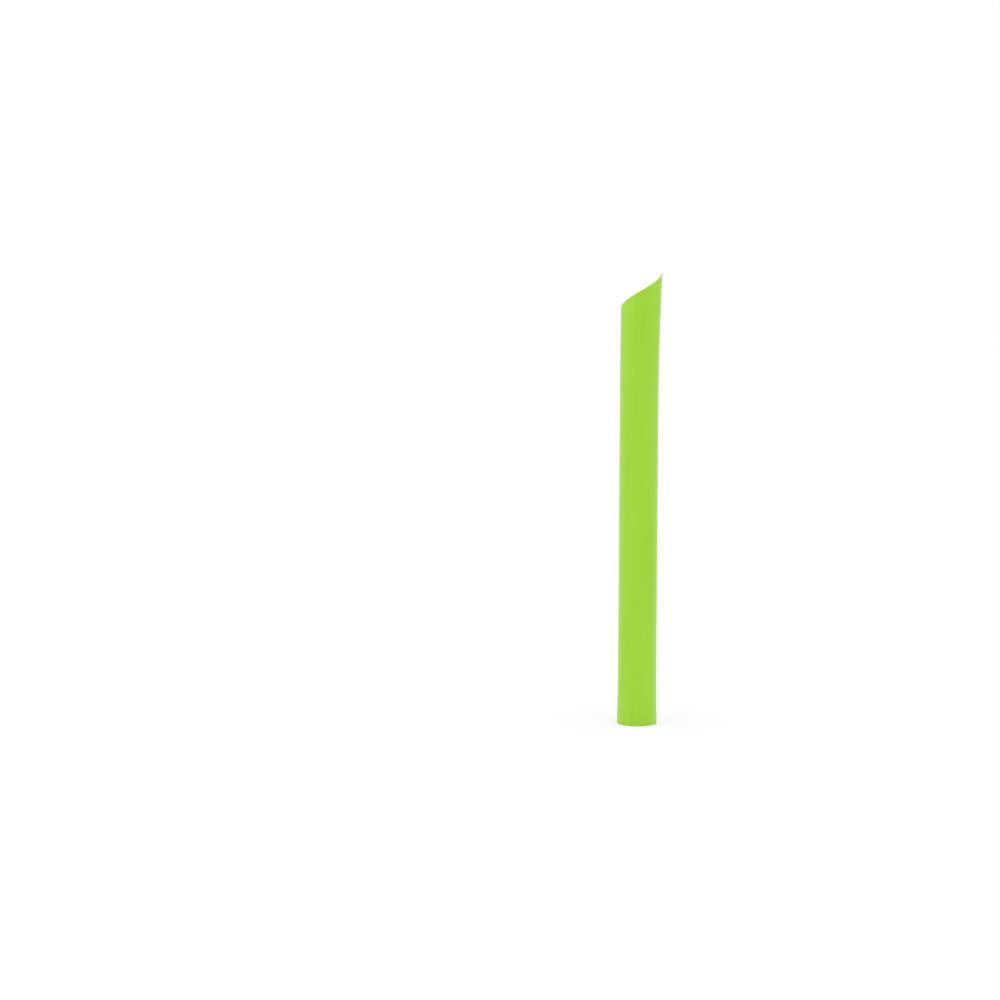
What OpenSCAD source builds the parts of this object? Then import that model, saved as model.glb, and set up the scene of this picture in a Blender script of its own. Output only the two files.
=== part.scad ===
// A wide drinking straw, extruded as one plain tube.
// One end is cut square and the other is slanted to a point that pierces a sealed cup.
// The straw stands on its square end, with the point towards +X. All sizes are in millimetres.

/* [Tube] */
// Outside diameter of the round barrel
tube_d = 12; // [8:0.5:14]
// Thickness of the extruded wall
wall = 0.3; // [0.2:0.05:0.5]
// Length from the square end to the tip of the point
straw_length = 140; // [90:1:260]

/* [Slanted cut] */
// Angle of the blade from a square cut, on the pressed tube
cut_angle = 31; // [10:1:45]
// Radius left in the two side folds of the tube while it is pressed for the cut
fold_r = 1.5; // [0.5:0.25:2.5]

/* [Square end] */
// How far the blade left the square end wider on each side
foot_spread = 0.27; // [0.05:0.01:0.4]
// Height at which the square end has sprung back to round
foot_reach = 19; // [8:1:30]

/* [Pointed end] */
// How far the pressing left the pointed end wider on each side, at the middle of the cut
point_spread = 0.25; // [0.05:0.05:0.4]
// How far the pointed end has bent aside by its tip
point_bend = 0.55; // [0:0.05:1]
// Length below the cut over which the pointed end has sprung back to the round and straight barrel
point_reach = 30; // [8:1:36]

/* [Surface] */
// Number of flats round the two sprung ends
flats = 72; // [48:12:96]

/* [Hidden] */
tube_r = tube_d / 2;
bore_r = tube_r - wall;
// Pressed, the tube is half its girth wide, less what its two side folds take up
half_girth = PI * tube_r;
fold_arc = PI / 2 * fold_r;
pressed_w = half_girth - 2 * (fold_arc - fold_r);
cut_rise = pressed_w * tan(cut_angle);
low_side_z = straw_length - cut_rise;
mid_cut_z = straw_length - cut_rise / 2;
barrel_top_z = low_side_z - point_reach;
// The ends run this far into the barrel, with faces this far inside its wall, so that they join cleanly
lap = 1;
tuck = 0.01;
foot_steps = 5;
point_steps = 9;

// How far across the pressed tube a place on its girth lies, from the fold where the point will be
function fold_x(arc) = fold_r * (1 - cos(90 * arc / fold_arc));
function pressed_x(arc) =
    arc < fold_arc ? fold_x(arc)
    : arc < half_girth - fold_arc ? arc - fold_arc + fold_r
    : pressed_w - fold_x(half_girth - arc);

// Height of the slanted edge at each angle from the point: straight while pressed, a wave once round
function cut_z(angle) = straw_length - pressed_x(half_girth * min(angle, 360 - angle) / 180) * tan(cut_angle);

// Spread of the wall at each height, from nothing at the barrel
function foot_spread_at(z) = foot_spread * pow(max(0, 1 - z / foot_reach), 2);
function climb(z) = max(0, z - barrel_top_z) / (mid_cut_z - barrel_top_z);
function point_spread_at(z) = point_spread * pow(climb(z), 2);
function point_bend_at(z) = point_bend * pow(max(0, z - barrel_top_z) / (straw_length - barrel_top_z), 2);

// A point on an oval section, set aside towards +X: as much narrower front to back as it is wider side to side
function oval_point(r, spread, aside, angle, z) = [
    (r + spread) * cos(angle) + aside,
    (r - spread) * sin(angle),
    z
];

// One ring of the square end, and one of the pointed end whose top ring is the slanted edge itself
function foot_ring(r, step) = [
    for (i = [0 : flats - 1])
        let (z = (foot_reach + lap) * step / foot_steps)
        oval_point(r, foot_spread_at(z), 0, 360 * i / flats, z)
];
function point_ring(r, step) = [
    for (i = [0 : flats - 1])
        let (angle = 360 * i / flats)
        let (start_z = barrel_top_z - lap)
        let (z = start_z + (cut_z(angle) - start_z) * step / point_steps)
        oval_point(r, point_spread_at(z), point_bend_at(z), angle, z)
];

// Faces of an open-ended wall between an outer and an inner stack of rings, from the lowest ring to the highest
function wall_faces(steps) =
    let (inner = (steps + 1) * flats)
    let (top = steps * flats)
    concat(
        [
            for (s = [0 : steps - 1], i = [0 : flats - 1])
                let (a = s * flats + i, b = s * flats + (i + 1) % flats)
                each [
                    [a, a + flats, b + flats],
                    [a, b + flats, b],
                    [inner + a, inner + b + flats, inner + a + flats],
                    [inner + a, inner + b, inner + b + flats]
                ]
        ],
        [
            for (i = [0 : flats - 1])
                let (j = (i + 1) % flats)
                each [
                    [i, j, inner + j],
                    [i, inner + j, inner + i],
                    [top + i, inner + top + i, inner + top + j],
                    [top + i, inner + top + j, top + j]
                ]
        ]
    );

module sprung_foot() {
    outside = [for (s = [0 : foot_steps]) each foot_ring(tube_r - tuck, s)];
    inside = [for (s = [0 : foot_steps]) each foot_ring(bore_r + tuck, s)];
    polyhedron(points = concat(outside, inside), faces = wall_faces(foot_steps));
}

module sprung_point() {
    outside = [for (s = [0 : point_steps]) each point_ring(tube_r - tuck, s)];
    inside = [for (s = [0 : point_steps]) each point_ring(bore_r + tuck, s)];
    polyhedron(points = concat(outside, inside), faces = wall_faces(point_steps));
}

// The round barrel, a revolved profile. Both its ends narrow to a wedge that runs inside the sprung ends.
module round_barrel() {
    mid_r = tube_r - wall / 2;
    rotate_extrude($fn = flats)
        polygon([
            [mid_r, foot_reach - lap],
            [tube_r, foot_reach],
            [tube_r, barrel_top_z],
            [mid_r, barrel_top_z + lap],
            [bore_r, barrel_top_z],
            [bore_r, foot_reach]
        ]);
}

module straw() {
    color("yellowgreen")
        union() {
            sprung_foot();
            round_barrel();
            sprung_point();
        }
}

straw();
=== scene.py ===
import math

import bpy
from mathutils import Matrix


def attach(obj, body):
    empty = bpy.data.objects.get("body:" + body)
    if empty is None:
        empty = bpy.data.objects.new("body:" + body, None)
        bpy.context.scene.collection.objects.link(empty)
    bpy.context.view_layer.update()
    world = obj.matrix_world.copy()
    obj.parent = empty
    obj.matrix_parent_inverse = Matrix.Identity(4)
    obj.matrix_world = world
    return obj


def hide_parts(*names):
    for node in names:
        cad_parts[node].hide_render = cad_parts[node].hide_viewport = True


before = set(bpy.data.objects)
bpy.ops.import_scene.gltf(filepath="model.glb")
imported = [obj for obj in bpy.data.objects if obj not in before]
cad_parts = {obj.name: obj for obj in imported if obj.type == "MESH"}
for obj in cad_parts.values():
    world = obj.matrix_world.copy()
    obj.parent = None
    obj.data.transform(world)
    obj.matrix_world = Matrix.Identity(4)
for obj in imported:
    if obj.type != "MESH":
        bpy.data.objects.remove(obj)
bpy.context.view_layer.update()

# The straw: one plain tube of polypropylene, drawn from a round die with a thin, even wall.
# It is pressed for the blades, which cut it square at the foot and on the slant at the point. It
# then springs back, and both ends stay a little oval.
MM = 0.001
# The solid's sizes, with the tube a hair slimmer and shorter so that it stays in the solid's box.
# Only the rounding of the cut edges is not in the solid.
TUBE_R = 5.985 * MM
WALL = 0.3 * MM
LENGTH = 139.98 * MM
CUT_ANGLE = math.radians(31)
FOLD_R = 1.5 * MM
FOOT_SPREAD = 0.27 * MM
FOOT_REACH = 19 * MM
POINT_SPREAD = 0.25 * MM
POINT_REACH = 30 * MM
POINT_BEND = 0.55 * MM
EDGE_ROUNDING = 0.05 * MM
HALF_GIRTH = math.pi * TUBE_R
FOLD_ARC = math.pi / 2 * FOLD_R
PRESSED_W = HALF_GIRTH - 2 * (FOLD_ARC - FOLD_R)
CUT_RISE = PRESSED_W * math.tan(CUT_ANGLE)
BARREL_TOP = LENGTH - CUT_RISE - POINT_REACH
MIDDLE_OF_CUT = LENGTH - CUT_RISE / 2
# How the mesh is divided, how far its rows stay from the blade, and how near each other points
# count as one row, one ring or one point
COLUMNS_ROUND = 144
ROWS_UP = 52
ROUNDING_STEPS = 2
SHARP_ANGLE = math.radians(50)
CLEAR_OF_CUT = 1 * MM
BELOW_CUT = LENGTH - CUT_RISE - CLEAR_OF_CUT
ABOVE_TIP = LENGTH + CLEAR_OF_CUT
SAME_ROW = 0.1 * MM
SAME_RING = 0.005 * MM
SAME_POINT = 0.001 * MM


def pressed_place(place):
    """Where a point of the round tube lies once it is pressed to two flat runs and two folds."""
    arc = TUBE_R * abs(math.atan2(place.y, place.x))
    into_fold = min(arc, HALF_GIRTH - arc, FOLD_ARC) / FOLD_R
    flat_run = max(0, min(arc, HALF_GIRTH - arc) - FOLD_ARC)
    across = FOLD_R * (1 - math.cos(into_fold)) + flat_run
    if arc > HALF_GIRTH / 2:
        across = PRESSED_W - across
    from_middle = math.copysign(FOLD_R * math.sin(into_fold), place.y)
    return (PRESSED_W / 2 - across, from_middle, place.z)


def spread_at(height):
    """How much wider the wall is on each side at this height, and narrower front and back."""
    foot = FOOT_SPREAD * max(0, 1 - height / FOOT_REACH) ** 2
    climb = max(0, height - BARREL_TOP) / (MIDDLE_OF_CUT - BARREL_TOP)
    return foot + POINT_SPREAD * climb**2


def bend_share(height):
    """How much of the pointed end's bend the wall has at this height, up to 1 at the tip."""
    return (max(0, height - BARREL_TOP) / (LENGTH - BARREL_TOP)) ** 2


def select_points(thing, wanted):
    """Leaves the thing in edit mode with only the wanted points selected."""
    bpy.ops.object.mode_set(mode="EDIT")
    bpy.ops.mesh.select_all(action="DESELECT")
    bpy.ops.object.mode_set(mode="OBJECT")
    chosen = [wanted(point.co) for point in thing.data.vertices]
    thing.data.vertices.foreach_set("select", chosen)
    bpy.ops.object.mode_set(mode="EDIT")


def apply_modifier(thing, kind, **settings):
    """Adds a modifier with its settings and makes it part of the mesh."""
    modifier = thing.modifiers.new(kind, kind)
    for name, value in settings.items():
        setattr(modifier, name, value)
    bpy.ops.object.modifier_apply(modifier=modifier.name)


# The wall starts as a flat sheet, its girth wide, with the line of the tip up its middle. Its rows
# of cells end below the cut, and one tall row is drawn up past the tip, so that the blade meets
# each column of cells once.
bpy.ops.object.select_all(action="DESELECT")
bpy.ops.mesh.primitive_grid_add(x_subdivisions=COLUMNS_ROUND, y_subdivisions=ROWS_UP, size=1)
straw = bpy.context.object
straw.name = straw.data.name = "drinking_straw_tube"
straw.scale = (2 * HALF_GIRTH, BELOW_CUT, 1)
straw.rotation_euler = (math.radians(90), 0, 0)
straw.location = (0, 0, BELOW_CUT / 2)
bpy.ops.object.transform_apply(location=True, rotation=True, scale=True)
select_points(straw, lambda place: place.z > BELOW_CUT - SAME_ROW)
bpy.ops.mesh.extrude_edges_move(
    TRANSFORM_OT_translate={"value": (0, 0, ABOVE_TIP - BELOW_CUT)}
)
bpy.ops.object.mode_set(mode="OBJECT")

# The sheet is rolled up round the tube's own line, with the tip at +X, and its two long edges are
# merged
apply_modifier(
    straw, "SIMPLE_DEFORM", deform_method="BEND", deform_axis="Z", angle=math.radians(360)
)
straw.location = (0, -TUBE_R, 0)
bpy.ops.object.transform_apply(location=True)
straw.rotation_euler = (0, 0, math.radians(90))
bpy.ops.object.transform_apply(rotation=True)
bpy.ops.object.mode_set(mode="EDIT")
bpy.ops.mesh.select_all(action="SELECT")
bpy.ops.mesh.remove_doubles(threshold=SAME_POINT)
bpy.ops.mesh.normals_make_consistent(inside=False)
bpy.ops.object.mode_set(mode="OBJECT")

# The tube is pressed, the slanting blade goes through its front and back at once, and it springs
# back to round
straw.shape_key_add(name="round")
pressed = straw.shape_key_add(name="pressed")
for point in pressed.data:
    point.co = pressed_place(point.co)
straw.active_shape_key_index = straw.data.shape_keys.key_blocks.find(pressed.name)
bpy.ops.object.mode_set(mode="EDIT")
bpy.ops.mesh.select_all(action="SELECT")
bpy.ops.mesh.bisect(
    plane_co=(PRESSED_W / 2, 0, LENGTH),
    plane_no=(-math.sin(CUT_ANGLE), 0, math.cos(CUT_ANGLE)),
    clear_outer=True,
)
bpy.ops.object.mode_set(mode="OBJECT")
pressed.value = 0
bpy.ops.object.shape_key_remove(all=True, apply_mix=True)

# Each ring of the two ends is drawn out side to side and in front to back, and the pointed end is
# bent aside
ring_height = -math.inf
for height in sorted(point.co.z for point in straw.data.vertices):
    if height - ring_height < SAME_RING:
        continue
    ring_height = height
    spread = spread_at(ring_height)
    if spread:
        select_points(straw, lambda place: abs(place.z - ring_height) < SAME_RING)
        bpy.ops.transform.resize(
            value=(1 + spread / TUBE_R, 1 - spread / TUBE_R, 1),
            center_override=(0, 0, ring_height),
        )
        bpy.ops.object.mode_set(mode="OBJECT")
bend = straw.vertex_groups.new(name="bend")
for point in straw.data.vertices:
    bend.add([point.index], bend_share(point.co.z), "REPLACE")
apply_modifier(
    straw, "DISPLACE", direction="X", mid_level=0, strength=POINT_BEND, vertex_group=bend.name
)

# The wall gets its thickness inwards, the foot is set level again, and both cut edges lose their
# sharpness
apply_modifier(straw, "SOLIDIFY", thickness=WALL, offset=-1, use_even_offset=True)
select_points(straw, lambda place: place.z < SAME_ROW)
bpy.ops.transform.resize(value=(1, 1, 0), center_override=(0, 0, 0))
bpy.ops.object.mode_set(mode="OBJECT")
apply_modifier(
    straw,
    "BEVEL",
    width=EDGE_ROUNDING,
    segments=ROUNDING_STEPS,
    limit_method="ANGLE",
    angle_limit=SHARP_ANGLE,
)
bpy.ops.object.select_all(action="DESELECT")
straw.select_set(True)
bpy.ops.object.shade_smooth_by_angle(angle=SHARP_ANGLE)
apply_modifier(straw, "WEIGHTED_NORMAL", keep_sharp=True)


def linear(hex_colour):
    """An sRGB hex colour as linear red, green, blue and an alpha of 1."""
    levels = [int(hex_colour[i : i + 2], 16) / 255 for i in (1, 3, 5)]
    return [v / 12.92 if v <= 0.04045 else ((v + 0.055) / 1.055) ** 2.4 for v in levels] + [1]


def emptied_nodes(owner):
    """Turns on the nodes of a material or the world, and gives them emptied."""
    owner.use_nodes = True
    owner.node_tree.nodes.clear()
    return owner.node_tree


def add_node(tree, kind, inputs=None, **settings):
    """Adds a node with its settings. An input is given a value, or an output to link it to."""
    node = tree.nodes.new(kind)
    for name, value in settings.items():
        setattr(node, name, value)
    for name, value in (inputs or {}).items():
        if isinstance(value, bpy.types.NodeSocket):
            tree.links.new(value, node.inputs[name])
        else:
            node.inputs[name].default_value = value
    return node


# Extruded polypropylene, tinted through, with a soft satin gloss. The die leaves fine lines along
# the tube, which catch the light as faint streaks. They are drawn 0.9 mm wide, coarser than the
# real ones, so that they show. A little light goes through the thin wall, so the mouth isn't dark
# inside. The blades leave their cut faces duller. The cut faces are also painted a shade deeper, a
# painted shade so that the light from above doesn't make them paler than the wall.
DIE_LINES = (0.9 * MM, 0.9 * MM, 90 * MM)
LINE_DEPTH = 0.01 * MM
MOTTLE = (6 * MM, 6 * MM, 30 * MM)
DEEPER_LIME = "#9AD01F"
PALER_LIME = "#A0D625"
# The cut faces' lime is a painted shade, deeper than the wall's
CUT_FACE_SHADED_LIME = "#90C424"
# Both patterns' sum where the lime is deepest and palest, and the gloss from line to line
TONE_RANGE = (0.7, 1.3)
SATIN_RANGE = (0.26, 0.34)
CUT_FACE_ROUGHNESS = 0.55
# How far a face is turned to look along the tube: less is wall, and more is a cut face
CUT_FACE_RANGE = (0.5, 0.8)
LIGHT_INTO_WALL = 0.5 * MM

polypropylene = bpy.data.materials.new("extruded_polypropylene_lime")
tree = emptied_nodes(polypropylene)
surface = add_node(tree, "ShaderNodeTexCoord")
patterns = []
for grain, detail in ((DIE_LINES, 3), (MOTTLE, 2)):
    grain_place = add_node(
        tree,
        "ShaderNodeMapping",
        {"Vector": surface.outputs["Object"], "Scale": [1 / width for width in grain]},
    )
    noise = add_node(
        tree,
        "ShaderNodeTexNoise",
        {"Vector": grain_place.outputs["Vector"], "Scale": 1, "Detail": detail},
    )
    patterns.append(noise.outputs["Fac"])
die_lines, mottle = patterns
tone = add_node(tree, "ShaderNodeMath", {0: die_lines, 1: mottle}, operation="ADD")
tone_share = add_node(
    tree,
    "ShaderNodeMapRange",
    {"Value": tone.outputs["Value"], "From Min": TONE_RANGE[0], "From Max": TONE_RANGE[1]},
)
wall_colour = add_node(
    tree,
    "ShaderNodeMix",
    {"Factor": tone_share.outputs["Result"], "A": linear(DEEPER_LIME), "B": linear(PALER_LIME)},
    data_type="RGBA",
)
wall_roughness = add_node(
    tree,
    "ShaderNodeMapRange",
    {"Value": die_lines, "To Min": SATIN_RANGE[0], "To Max": SATIN_RANGE[1]},
)
facing = add_node(tree, "ShaderNodeSeparateXYZ", {"Vector": surface.outputs["Normal"]})
along_tube = add_node(tree, "ShaderNodeMath", {0: facing.outputs["Z"]}, operation="ABSOLUTE")
cut_face = add_node(
    tree,
    "ShaderNodeMapRange",
    {
        "Value": along_tube.outputs["Value"],
        "From Min": CUT_FACE_RANGE[0],
        "From Max": CUT_FACE_RANGE[1],
    },
)
# The cut faces are painted a shade deeper, a painted shade so that the light from above doesn't
# make them paler than the wall
colour = add_node(
    tree,
    "ShaderNodeMix",
    {
        "Factor": cut_face.outputs["Result"],
        "A": wall_colour.outputs["Result"],
        "B": linear(CUT_FACE_SHADED_LIME),
    },
    data_type="RGBA",
)
roughness = add_node(
    tree,
    "ShaderNodeMapRange",
    {
        "Value": cut_face.outputs["Result"],
        "To Min": wall_roughness.outputs["Result"],
        "To Max": CUT_FACE_ROUGHNESS,
    },
)
relief = add_node(
    tree, "ShaderNodeBump", {"Height": die_lines, "Strength": 0.5, "Distance": LINE_DEPTH}
)
plastic = add_node(
    tree,
    "ShaderNodeBsdfPrincipled",
    {
        "Base Color": colour.outputs["Result"],
        "Roughness": roughness.outputs["Result"],
        "Normal": relief.outputs["Normal"],
        "IOR": 1.49,
        "Subsurface Weight": 0.3,
        "Subsurface Radius": (0.8, 1.0, 0.3),
        "Subsurface Scale": LIGHT_INTO_WALL,
    },
)
add_node(tree, "ShaderNodeOutputMaterial", {"Surface": plastic.outputs["BSDF"]})
straw.data.materials.append(polypropylene)

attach(straw, "root")
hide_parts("straw")

# The white paper sweep that the straw stands on. Round the tube, the camera and the gloss see it
# nearly white, and it keeps the straw's soft shadow. Inside the tube, the camera and the gloss see
# a painted green light on it, which stands in for the light that comes through the wall.
FLOOR_SIDE = 8
FLOOR_DROP = 0.02 * MM
PAPER = "#EDEDED"
WHITE = "#FFFFFF"
PAINTED_GREEN_LIGHT_INSIDE = "#8BBD41"
CAMERA_SHARE_OF_WHITE = 0.6


def share_of_white(tree, camera_share):
    """How much plain white a ray sees: this share from the camera, and all of it in a gloss."""
    rays = add_node(tree, "ShaderNodeLightPath")
    share = add_node(
        tree,
        "ShaderNodeMath",
        {0: rays.outputs["Is Camera Ray"], 1: camera_share},
        operation="MULTIPLY",
    )
    for kind in ("Is Glossy Ray", "Is Transmission Ray"):
        share = add_node(
            tree,
            "ShaderNodeMath",
            {0: share.outputs["Value"], 1: rays.outputs[kind]},
            operation="MAXIMUM",
        )
    return share.outputs["Value"]


bpy.ops.mesh.primitive_plane_add(size=FLOOR_SIDE, location=(0, 0, -FLOOR_DROP))
floor = bpy.context.object
floor.name = floor.data.name = "studio_floor"
bpy.ops.object.transform_apply(location=True)
sweep = bpy.data.materials.new("white_paper_sweep")
tree = emptied_nodes(sweep)
paper = add_node(tree, "ShaderNodeBsdfDiffuse", {"Color": linear(PAPER)})
floor_place = add_node(tree, "ShaderNodeTexCoord")
from_middle = add_node(
    tree, "ShaderNodeVectorMath", {0: floor_place.outputs["Object"]}, operation="LENGTH"
)
round_the_tube = add_node(
    tree, "ShaderNodeMath", {0: from_middle.outputs["Value"], 1: TUBE_R}, operation="GREATER_THAN"
)
# Inside the tube the sweep shows a painted green light, in place of the light that comes through
# the wall
glow = add_node(
    tree,
    "ShaderNodeMix",
    {
        "Factor": round_the_tube.outputs["Value"],
        "A": linear(PAINTED_GREEN_LIGHT_INSIDE),
        "B": linear(WHITE),
    },
    data_type="RGBA",
)
white = add_node(tree, "ShaderNodeEmission", {"Color": glow.outputs["Result"], "Strength": 1})
shown = add_node(
    tree,
    "ShaderNodeMixShader",
    {
        0: share_of_white(tree, CAMERA_SHARE_OF_WHITE),
        1: paper.outputs["BSDF"],
        2: white.outputs["Emission"],
    },
)
add_node(tree, "ShaderNodeOutputMaterial", {"Surface": shown.outputs["Shader"]})
# The sweep is no lamp, so that a gloss meets all of its white
sweep.cycles.emission_sampling = "NONE"
floor.data.materials.append(sweep)

# The light tent: an even white surround that is seen at full white and lights the straw a little
# less, with a large soft lamp on each side and one above, which lights the paper.
LIGHT_OF_SURROUND = 0.7

world = bpy.data.worlds.new("light_tent")
bpy.context.scene.world = world
tree = emptied_nodes(world)
brightness = add_node(
    tree,
    "ShaderNodeMapRange",
    {"Value": share_of_white(tree, 1), "To Min": LIGHT_OF_SURROUND, "To Max": 1},
)
surround = add_node(
    tree,
    "ShaderNodeBackground",
    {"Color": linear(WHITE), "Strength": brightness.outputs["Result"]},
)
add_node(tree, "ShaderNodeOutputWorld", {"Surface": surround.outputs["Background"]})


def add_soft_lamp(name, from_side, height, spread, strength):
    """Adds a lamp as far off as the sky, from_side degrees round from the front, height degrees up
    and spread degrees wide. At strength 1 it lights a white sheet that faces it to plain white."""
    light = bpy.data.lights.new(name, "SUN")
    light.angle = math.radians(spread)
    light.energy = strength * math.pi
    lamp = bpy.data.objects.new(name, light)
    bpy.context.scene.collection.objects.link(lamp)
    lamp.rotation_euler = (math.radians(90 - height), 0, math.radians(from_side))


add_soft_lamp("softbox_left", from_side=-66, height=8, spread=80, strength=0.2)
add_soft_lamp("softbox_right", from_side=66, height=8, spread=80, strength=0.13)
add_soft_lamp("softbox_above", from_side=0, height=85, spread=60, strength=0.45)

# The camera, set low and close in front. It is turned a little to the left, so that the straw
# stands right of the middle, and it looks a little down.
CAMERA_AWAY = 717.5 * MM
CAMERA_HEIGHT = 134.6 * MM
CAMERA_LENS = 83.4
CAMERA_SENSOR = 36
CAMERA_NEAREST = 10 * MM
CAMERA_TURN = math.radians(3.432)
CAMERA_DIP = math.radians(5.158)
CAMERA_TILT = math.radians(0.13)

camera_data = bpy.data.cameras.new("camera")
camera_data.lens = CAMERA_LENS
camera_data.sensor_width = CAMERA_SENSOR
camera_data.clip_start = CAMERA_NEAREST
camera = bpy.data.objects.new("camera", camera_data)
bpy.context.scene.collection.objects.link(camera)
camera.matrix_world = (
    Matrix.Translation((0, -CAMERA_AWAY, CAMERA_HEIGHT))
    @ Matrix.Rotation(CAMERA_TURN, 4, "Z")
    @ Matrix.Rotation(math.radians(90) - CAMERA_DIP, 4, "X")
    @ Matrix.Rotation(CAMERA_TILT, 4, "Z")
)
bpy.context.scene.camera = camera
bpy.context.scene.view_settings.view_transform = "Standard"
